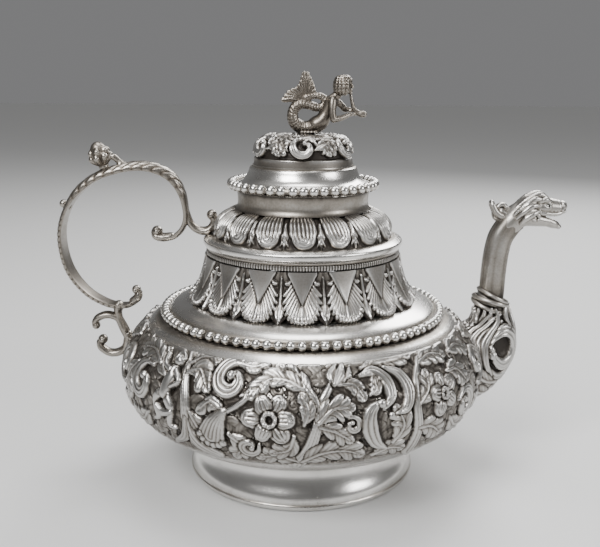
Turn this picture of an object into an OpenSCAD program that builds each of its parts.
// Silver teapot: a chased squat bowl on a plain foot, three stepped tiers above it,
// a beast-head spout, a C-scroll strap handle and a lift-off lid with a cast merman finial.
// Millimetres. +Z is up, +X points out along the spout, and the origin is the middle of
// the foot's resting plane.

/* [Foot] */
// Radius of the foot where it rests
foot_r = 51; // [50:0.5:52]
// Height of the foot under the bowl
foot_h = 19.6; // [19:0.2:20.2]

/* [Bowl] */
// Largest radius of the bowl
bowl_r = 83; // [82:0.5:84]
// Height of the bowl's upper lip above the table
lip_z = 76; // [75.75:0.05:76.25]
// Thickness of the sheet silver
wall = 1.2; // [1:0.1:1.4]

/* [Tiers] */
// Radius of the bead wire round the waist, at the middle of its beads
waist_r = 63.5; // [63:0.25:64]
// Radius of a waist bead
bead_r = 2; // [1.8:0.1:2.1]
// Radius of the flat shelf moulding between the two leaf tiers
shelf_r = 45.5; // [45:0.25:46]

/* [Neck and lid] */
// Bore of the neck, which the lid's bezel drops into
neck_bore_r = 28.4; // [28.2:0.1:28.6]
// Gap all round between the bezel and the neck
bezel_gap = 0.25; // [0.2:0.05:0.35]
// Depth that the bezel reaches into the neck
bezel_depth = 8; // [6:0.5:9]
// Radius of the screw under the finial
stud_r = 1.5; // [1.4:0.1:1.6]

/* [Spout] */
// Bore of the spout's neck
spout_bore_r = 4.5; // [4.3:0.1:4.6]
// Radius of one pouring hole through the bowl
strainer_hole_r = 1.3; // [1:0.1:1.5]

/* [Handle] */
// Half the width of the strap where the fingers hold it
strap_half_w = 5.6; // [5:0.2:6]
// Thickness of the strap
strap_t = 2.6; // [2.2:0.2:3]

/* [Hidden] */
$fn = 96;
silver = [0.78, 0.77, 0.75];
aged_silver = [0.66, 0.64, 0.61];
gap = 0.3;

// Heights where one ring of the body ends and the next begins
shelf_z = 106.3;
tier_z = 112.2;
neck_z = 124.4;
rim_z = 133;
wire_r = 0.9;
lid_z = rim_z + wire_r + gap;
crown_z = 144.2;
top_z = 157.5;
skirt_z = 83.9;
band_z = 104;
lid_rim_r = 31;

// ---------- curves and lofts ----------

function unit(v) = v / norm(v);
function reversed(a) = [for (i = [len(a) - 1 : -1 : 0]) a[i]];
function at(a, i) = a[max(0, min(len(a) - 1, i))];

// One point of a smooth curve through a, b, c and d, between b and c
function knot(a, b, c, d, t) =
    0.5 * (2 * b + (c - a) * t + (2 * a - 5 * b + 4 * c - d) * t * t
        + (3 * b - a - 3 * c + d) * t * t * t);

// A smooth curve through the points, with `steps` pieces between each two
function curve(pts, steps) = [
    for (i = [0 : len(pts) - 2], k = [0 : steps - 1])
        knot(at(pts, i - 1), pts[i], pts[i + 1], at(pts, i + 2), k / steps),
    pts[len(pts) - 1]
];

function tangent(line, i) = unit(at(line, i + 1) - at(line, i - 1));

// The same outline moved sideways by t, to the left of its run
function inset(line, t) = [
    for (i = [0 : len(line) - 1])
        let (d = tangent(line, i)) line[i] + t * [-d[1], d[0]]
];

// A turned shell whose outside is the outline
module turned_shell(outline, t) {
    rotate_extrude() polygon(concat(outline, reversed(inset(outline, t))));
}

// A solid through rings of points, each ring with the same number
module loft(rings) {
    n = len(rings[0]);
    m = len(rings);
    points = [for (r = rings) each r];
    sides = [
        for (i = [0 : m - 2], k = [0 : n - 1])
            let (a = i * n + k, b = i * n + (k + 1) % n)
                each [[a, b, b + n], [a, b + n, a + n]]
    ];
    start_cap = [for (k = [1 : n - 2]) [0, k + 1, k]];
    end_cap = [for (k = [1 : n - 2]) let (e = (m - 1) * n) [e, e + k, e + k + 1]];
    polyhedron(points, concat(start_cap, sides, end_cap), convexity = 6);
}

// An oval ring standing across the direction `dir` of the XZ plane: half_n in the plane,
// half_y sideways
function oval(p, dir, half_n, half_y, n = 20) = [
    for (k = [0 : n - 1])
        let (a = -360 * k / n, s = half_n * sin(a))
            [p[0] - dir[1] * s, half_y * cos(a), p[1] + dir[0] * s]
];

// A loft of ovals along stations [x, z, half_n, half_y], with `steps` rings between each two
module oval_sweep(stations, steps = 3, n = 20) {
    line = curve(stations, steps);
    loft([
        for (i = [0 : len(line) - 1])
            let (s = line[i], d = tangent([for (q = line) [q[0], q[1]]], i))
                oval([s[0], s[1]], d, s[2], s[3], n)
    ]);
}

// A strap that is flat on one side and domed on the other, along the same kind of stations
module strap_sweep(stations, steps = 4, n = 12) {
    line = curve(stations, steps);
    flat_share = 0.35;
    loft([
        for (i = [0 : len(line) - 1])
            let (s = line[i], d = tangent([for (q = line) [q[0], q[1]]], i))
                [for (k = [0 : n - 1])
                    let (a = -360 * k / n,
                        h = s[2] * sin(a) * (sin(a) > 0 ? flat_share : 1))
                        [s[0] - d[1] * h, s[3] * cos(a), s[1] + d[0] * h]]
    ]);
}

module ball(p, r) {
    translate([p[0], 0, p[1]]) sphere(r, $fn = 24);
}

// ---------- outlines of the turned parts, [radius, height] ----------

bowl_line = curve([
    [46, foot_h], [56, foot_h + 1.7], [64, 24.6], [bowl_r - 11, 29.8],
    [bowl_r - 4.5, 36.5], [bowl_r - 1, 44], [bowl_r, 51], [bowl_r - 1, 58],
    [bowl_r - 4, 64.5], [bowl_r - 8.5, 70], [70, 73.8], [65.8, lip_z]
], 4);
shoulder_line = concat(
    [[waist_r - bead_r, lip_z]],
    curve([[waist_r - bead_r, 78.8], [59.6, 80.6], [56, 82.1], [50.5, 83.6], [46, 84.4]], 4)
);
leaf_line = curve([
    [51.8, skirt_z], [50, 86.8], [48, 90.4], [46.4, 94.4], [45.1, 99], [44.2, band_z]
], 4);
tongue_line = curve([
    [41, tier_z], [40.3, 114.2], [39.7, 116.8], [38.5, 119.3], [36.4, 121.6],
    [33.6, 123.4], [30.9, neck_z]
], 4);
cap_line = concat(
    [[lid_rim_r, lid_z]],
    curve([
        [lid_rim_r, 136.2], [28.4, 137.2], [26.3, 139], [24.6, 141.4], [23.5, 143.2],
        [23.2, crown_z]
    ], 4)
);
crown_line = curve([
    [22.4, crown_z], [22.2, 146.5], [22.2, 149.4], [21.7, 152.2], [20.2, 154.7],
    [17.2, 156.3], [12, 157.2], [6, top_z - 0.1], [stud_r + 0.1, top_z]
], 3);

// ---------- body ----------

module bowl_form() {
    rotate_extrude() polygon(concat([[0, foot_h]], bowl_line, [[0, lip_z]]));
}

module bowl() {
    lip_in = waist_r - bead_r - wall;
    rim = bowl_line[len(bowl_line) - 1];
    inner = inset(bowl_line, wall);
    kept = [for (p = inner) if (p[1] < lip_z - wall) p];
    color(aged_silver) difference() {
        rotate_extrude() polygon(concat(
            [[0, foot_h]], bowl_line, [[lip_in, rim[1]], [lip_in, rim[1] - wall]],
            reversed(kept), [[0, foot_h + wall]]
        ));
        strainer_holes();
    }
}

// Three rings of holes and one in the middle, drilled straight in behind the spout
module strainer_holes() {
    pitch = 4.2;
    for (ring = [0 : 2], k = [0 : max(0, 6 * ring - 1)])
        let (a = 60 * k / max(1, ring))
            translate([bowl_r - 10, pitch * ring * sin(a), 54 + pitch * ring * cos(a)])
                rotate([0, 90, 0]) cylinder(h = 20, r = strainer_hole_r, $fn = 24);
}

module foot_ring() {
    outline = curve([
        [foot_r + 1.8, 3], [foot_r + 1, 6.4], [50, 10.6], [48.7, 15], [48.4, foot_h]
    ], 4);
    color(silver) turned_shell(outline, wall);
}

module foot_wire() {
    color(silver) rotate_extrude() polygon([
        [foot_r - 1.2, 0], [foot_r + 0.2, 0], [foot_r + 1.6, 1], [foot_r + 2.2, 2],
        [foot_r + 1.8, 3], [foot_r - 0.2, 3], [foot_r - 1.2, 2]
    ]);
}

module shoulder() {
    color(silver) turned_shell(shoulder_line, wall);
}

// A wire with a round outer side and a flat inner side
module bead_wire(mid_r, z, r, inner_r, floor_z) {
    rotate_extrude() difference() {
        translate([mid_r, z]) circle(r, $fn = 48);
        translate([inner_r - 10, z - 10]) square([10, 20]);
        translate([mid_r - 10, floor_z - 10]) square([20, 10]);
    }
}

module waist_beading() {
    color(silver) bead_wire(waist_r, lip_z + bead_r * 0.9, bead_r, waist_r - bead_r, lip_z);
}

module leaf_tier() {
    color(aged_silver) turned_shell(leaf_line, wall);
}

module milled_band() {
    color(silver) rotate_extrude() polygon([
        [42.4, band_z], [44, band_z], [44.3, band_z + 0.6], [44.3, shelf_z - 0.5],
        [44, shelf_z], [42.4, shelf_z]
    ]);
}

module shelf() {
    color(silver) rotate_extrude() polygon([
        [39, shelf_z + 1.4], [41.4, shelf_z], [44, shelf_z], [44.3, shelf_z + 0.8],
        [shelf_r - 0.4, shelf_z + 1.7], [shelf_r, shelf_z + 2.8],
        [shelf_r - 0.1, shelf_z + 4.2], [shelf_r - 0.8, shelf_z + 5], [43, tier_z - 0.3],
        [42, tier_z], [39, tier_z]
    ]);
}

module tongue_tier() {
    color(aged_silver) turned_shell(tongue_line, wall);
}

module neck() {
    outside = curve([[30.9, neck_z], [30, 126], [29.7, 128.6], [29.9, 131.4], [30.3, rim_z]], 4);
    color(silver) rotate_extrude()
        polygon(concat(outside, [[neck_bore_r, rim_z], [neck_bore_r, neck_z]]));
}

module neck_wire() {
    color(silver) rotate_extrude() difference() {
        translate([30.2, rim_z]) circle(wire_r, $fn = 32);
        translate([29, rim_z - 2]) square([3, 2]);
    }
}

// ---------- spout: stations are [x, z, half in the plane, half sideways] ----------

module spout_body() {
    color(aged_silver) difference() {
        oval_sweep([
            [72, 50, 20, 14], [79, 54, 19.2, 13.2], [85.2, 59.2, 16.6, 11.6],
            [88.8, 67.4, 12.4, 9.8], [88.9, 74, 9.2, 8.4], [88.2, 79, 7.6, 7.4]
        ], 3, 28);
        oval_sweep([
            [60, 44, 16, 11], [79, 54, 16, 10.6], [85, 59.4, 13.8, 9.4],
            [88.4, 67.2, 9.8, 7.6], [88.5, 74, 7.3, 6.9], [88.2, 78.9, 6.3, 6.3],
            [87.9, 83, 6.2, 6.2]
        ], 3, 28);
        bowl_form();
    }
}

spout_collar_at = [88.2, 80.4];
spout_lean = 11;

module spout_collar() {
    color(silver) translate([spout_collar_at[0], 0, spout_collar_at[1]])
        rotate([0, spout_lean, 0]) rotate_extrude() difference() {
            union() {
                translate([6.9, -1.1]) circle(1.4, $fn = 32);
                translate([6.8, 1.5]) circle(1.3, $fn = 32);
            }
            translate([0, -5]) square([5.5, 10]);
        }
}

spout_line = [
    [88.1, 79.4], [88.4, 85], [88.6, 91.6], [89, 98.5], [89.7, 105], [91.2, 111.4], [94.6, 117]
];

module spout_neck() {
    outer = [for (p = spout_line) [p[0], p[1], 5.75, 5.6]];
    bore = [for (p = spout_line) [p[0], p[1], spout_bore_r, spout_bore_r]];
    ends = [[87.6, 74, spout_bore_r, spout_bore_r], [99.5, 121.6, spout_bore_r, spout_bore_r]];
    color(silver) difference() {
        oval_sweep(outer, 3, 24);
        oval_sweep(concat([ends[0]], bore, [ends[1]]), 3, 24);
    }
}

module spout_head() {
    color(aged_silver) difference() {
        union() {
            oval_sweep([
                [94.6, 117, 5.75, 5.6], [99.2, 121.8, 6.2, 6.3], [104.4, 124.2, 6.8, 7],
                [109, 124.8, 6.4, 6.6], [113.2, 124.6, 4.4, 5.4], [117, 125.2, 3.3, 4.6],
                [119.4, 125.4, 2, 3.4]
            ], 3, 24);
            oval_sweep([
                [103, 120.4, 3, 5], [108.6, 119.6, 2.2, 5], [113.6, 117.8, 2, 4.6],
                [117.2, 116.6, 1.7, 3.9], [119.3, 115.9, 1, 2.6]
            ], 3, 20);
        }
        oval_sweep([
            [90, 111, 4, 4], [94.6, 117, 4.2, 4.3], [99.6, 121.2, 4, 4.4],
            [105, 122.4, 3.6, 4.2], [111, 121.4, 2.7, 3.9], [116, 120.3, 2.3, 4.6],
            [123, 120.2, 2.8, 6]
        ], 3, 24);
    }
}

module spout_crest() {
    color(aged_silver) difference() {
        oval_sweep([
            [92.4, 119.6, 2.6, 3.2], [90.2, 122.6, 2.3, 3], [87.6, 125.2, 1.7, 2.4],
            [85.8, 127, 0.8, 1.4]
        ], 3, 14);
        oval_sweep([
            [88.6, 105, 5.75, 5.6], [91.2, 111.4, 5.75, 5.6], [94.6, 117, 5.75, 5.6],
            [99.2, 121.8, 6.2, 6.3], [104.4, 124.2, 6.8, 7]
        ], 3, 24);
    }
}

// ---------- handle ----------

module handle_strap() {
    w = strap_half_w;
    t = strap_t;
    color(silver) union() {
        strap_sweep([
            [-66, 111.6, 1.6, 2], [-63, 110, 1.6, 2.2], [-58.8, 111.4, 1.7, 2.5],
            [-55.2, 115.6, t * 0.7, 3], [-54, 121.8, t * 0.75, 3.4],
            [-56.3, 131.4, t * 0.8, 4.2], [-62, 138.4, t * 0.8, 4.8],
            [-72, 141.8, t * 0.8, w - 0.2], [-84, 140.4, t * 0.8, w],
            [-96, 135.4, t * 0.8, w], [-106.2, 125.2, t * 0.75, w],
            [-110.6, 111.6, t * 0.7, w], [-108.4, 96.4, t * 0.7, w],
            [-101, 85.2, t * 0.7, w - 0.6], [-91, 79, t * 0.7, 4.4],
            [-83, 78, 1.7, 3.6], [-78.2, 80.2, 1.6, 2.6], [-76.6, 83.6, 1.4, 2]
        ], 4, 12);
        ball([-66.6, 112.6], 2.7);
        ball([-77.6, 84.8], 2.4);
    }
}

module handle_top_scroll() {
    color(silver) union() {
        strap_sweep([
            [-52.6, 121.6, 1.2, 2.2], [-51.9, 117.4, 1.4, 2.4], [-49.6, 114.4, 1.5, 2.5],
            [-46.2, 113.1, 1.6, 2.5], [-43.2, 113.8, 1.7, 2.3], [-41.7, 117.2, 1.3, 2],
            [-41.7, 119.6, 1.2, 1.8]
        ], 4, 12);
        ball([-41.8, 120.9], 2.2);
    }
}

module handle_bracket() {
    color(silver) union() {
        strap_sweep([
            [-86.4, 77, 1.7, 2.4], [-86.6, 73.6, 1.6, 2.2], [-85.8, 70.4, 1.7, 2.4],
            [-84, 66.6, 1.8, 2.6], [-82.6, 63.2, 1.9, 2.8], [-81.2, 60.6, 1.8, 2.6]
        ], 4, 12);
        strap_sweep([
            [-86, 71.6, 1.1, 1.9], [-89.4, 72.4, 1.2, 2], [-93.2, 72.3, 1.2, 2],
            [-96.4, 70.6, 1.2, 1.9], [-97.6, 68, 1, 1.7]
        ], 4, 12);
        ball([-97.2, 67], 2);
    }
}

module handle_lower_scroll() {
    color(silver) union() {
        strap_sweep([
            [-82.9, 61.4, 1.3, 2.4], [-83.6, 58, 1.4, 2.4], [-86, 55.4, 1.4, 2.3],
            [-89.6, 54.6, 1.4, 2.2], [-93.2, 55.9, 1.3, 2.1], [-95.4, 58.6, 1.2, 2],
            [-95, 61, 1, 1.8]
        ], 4, 12);
        ball([-94, 61.2], 2.2);
    }
}

module thumb_bud() {
    lean = -22;
    color(aged_silver) translate([-90.4, 0, 142.6]) rotate([0, lean, 0]) union() {
        cylinder(h = 2.4, r1 = 2.2, r2 = 1.8, $fn = 32);
        translate([0, 0, 6.2]) sphere(4.4, $fn = 32);
        translate([0, 0, 8.6]) cylinder(h = 3.2, r1 = 3.7, r2 = 1.2, $fn = 32);
    }
}

module bud_twig() {
    color(silver) strap_sweep([
        [-79.6, 143.3, 1.3, 1.8], [-82.6, 144.2, 1.2, 1.6], [-84.6, 146.3, 1.1, 1.5],
        [-86.4, 146.6, 1, 1.4]
    ], 4, 10);
}

module handle_knob() {
    color(silver) ball([-109.2, 125.3], 1.8);
}

// ---------- lid ----------

module lid_cap() {
    inner = [for (p = inset(cap_line, wall)) if (p[1] > 137.2) p];
    bezel_in = neck_bore_r - bezel_gap - 1;
    color(silver) rotate_extrude()
        polygon(concat(cap_line, reversed(inner), [[bezel_in, 137.2], [bezel_in, lid_z]]));
}

module lid_crown() {
    color(aged_silver) turned_shell(crown_line, wall);
}

module lid_beading() {
    color(silver) bead_wire(lid_rim_r + 1.4, 135.6, bead_r, lid_rim_r, 0);
}

module lid_bezel() {
    outer = neck_bore_r - bezel_gap;
    color(silver) rotate_extrude()
        translate([outer - 1, lid_z - bezel_depth]) square([1, bezel_depth]);
}

module finial_stud() {
    color(silver) translate([0, 0, top_z - 7]) cylinder(h = 7, r = stud_r);
}

module finial_washer() {
    color(silver) translate([0, 0, top_z - wall - 0.9]) difference() {
        cylinder(h = 0.8, r = 4);
        translate([0, 0, -1]) cylinder(h = 3, r = stud_r + 0.1);
    }
}

module finial_nut() {
    color(silver) translate([0, 0, top_z - wall - 3.6]) difference() {
        cylinder(h = 2.6, r = 3.2, $fn = 6);
        translate([0, 0, -1]) cylinder(h = 5, r = stud_r + 0.05, $fn = 48);
    }
}

// A limb of the casting from a to b, each [x, y, z, radius]
module limb(a, b) {
    hull() {
        translate([a[0], a[1], a[2]]) sphere(a[3], $fn = 14);
        translate([b[0], b[1], b[2]]) sphere(b[3], $fn = 14);
    }
}

module finial_figure() {
    tail = [
        [3.6, 159.4, 3, 3], [-1, 160.6, 2.7, 2.7], [-4.1, 164, 2.3, 2.3],
        [-3.8, 168.2, 2, 2], [-0.6, 170.9, 1.8, 1.8], [4, 171, 1.6, 1.6],
        [7, 172.6, 1.4, 1.4], [5.6, 175.2, 1.2, 1.2], [1.4, 175.4, 1.1, 1.3],
        [-1.2, 174.4, 0.9, 1.4]
    ];
    color(aged_silver) union() {
        translate([1.6, 0, top_z]) cylinder(h = 2.6, r1 = 3.4, r2 = 2.6, $fn = 24);
        oval_sweep(tail, 3, 12);
        oval_sweep([
            [-1, 174.4, 1, 1.6], [-0.8, 178, 0.9, 3], [0.4, 181.6, 0.7, 2], [0.2, 184.2, 0.5, 0.8]
        ], 3, 10);
        oval_sweep([
            [-0.4, 174.4, 1, 1.6], [-4, 175, 0.9, 2.6], [-7, 174.2, 0.7, 1.8], [-9, 173.2, 0.5, 0.8]
        ], 3, 10);
        limb([2.6, 0, 159.6, 2.8], [7.6, 0, 162.6, 3]);
        limb([7.6, 0, 162.6, 3], [10.6, 0, 167, 2.7]);
        limb([10.6, 0, 167, 2.7], [12.6, 0, 171.4, 3]);
        limb([13, 2.6, 172.6, 1.5], [14.6, 4, 166, 1.2]);
        limb([13, -2.6, 172.6, 1.5], [14.6, -4, 166, 1.2]);
        limb([14.6, -4, 166, 1.2], [21, -1.2, 167.2, 0.9]);
        limb([14.6, 4, 166, 1.2], [21, 1.2, 167.2, 0.9]);
        limb([13.4, 0, 173, 1.8], [15.6, 0, 176, 1.5]);
        limb([17.2, 0, 179.6, 3.2], [18.2, 0, 178, 2.8]);
        limb([20.4, 0, 176, 0.9], [23, 0, 167.6, 1]);
        limb([21, 0, 167.4, 1.1], [26.2, 0, 166.6, 1.5]);
    }
}

bowl();
foot_ring();
foot_wire();
shoulder();
waist_beading();
leaf_tier();
milled_band();
shelf();
tongue_tier();
neck();
neck_wire();
spout_body();
spout_collar();
spout_neck();
spout_head();
spout_crest();
handle_strap();
handle_top_scroll();
handle_bracket();
handle_lower_scroll();
thumb_bud();
bud_twig();
handle_knob();
lid_cap();
lid_crown();
lid_beading();
lid_bezel();
finial_figure();
finial_stud();
finial_washer();
finial_nut();
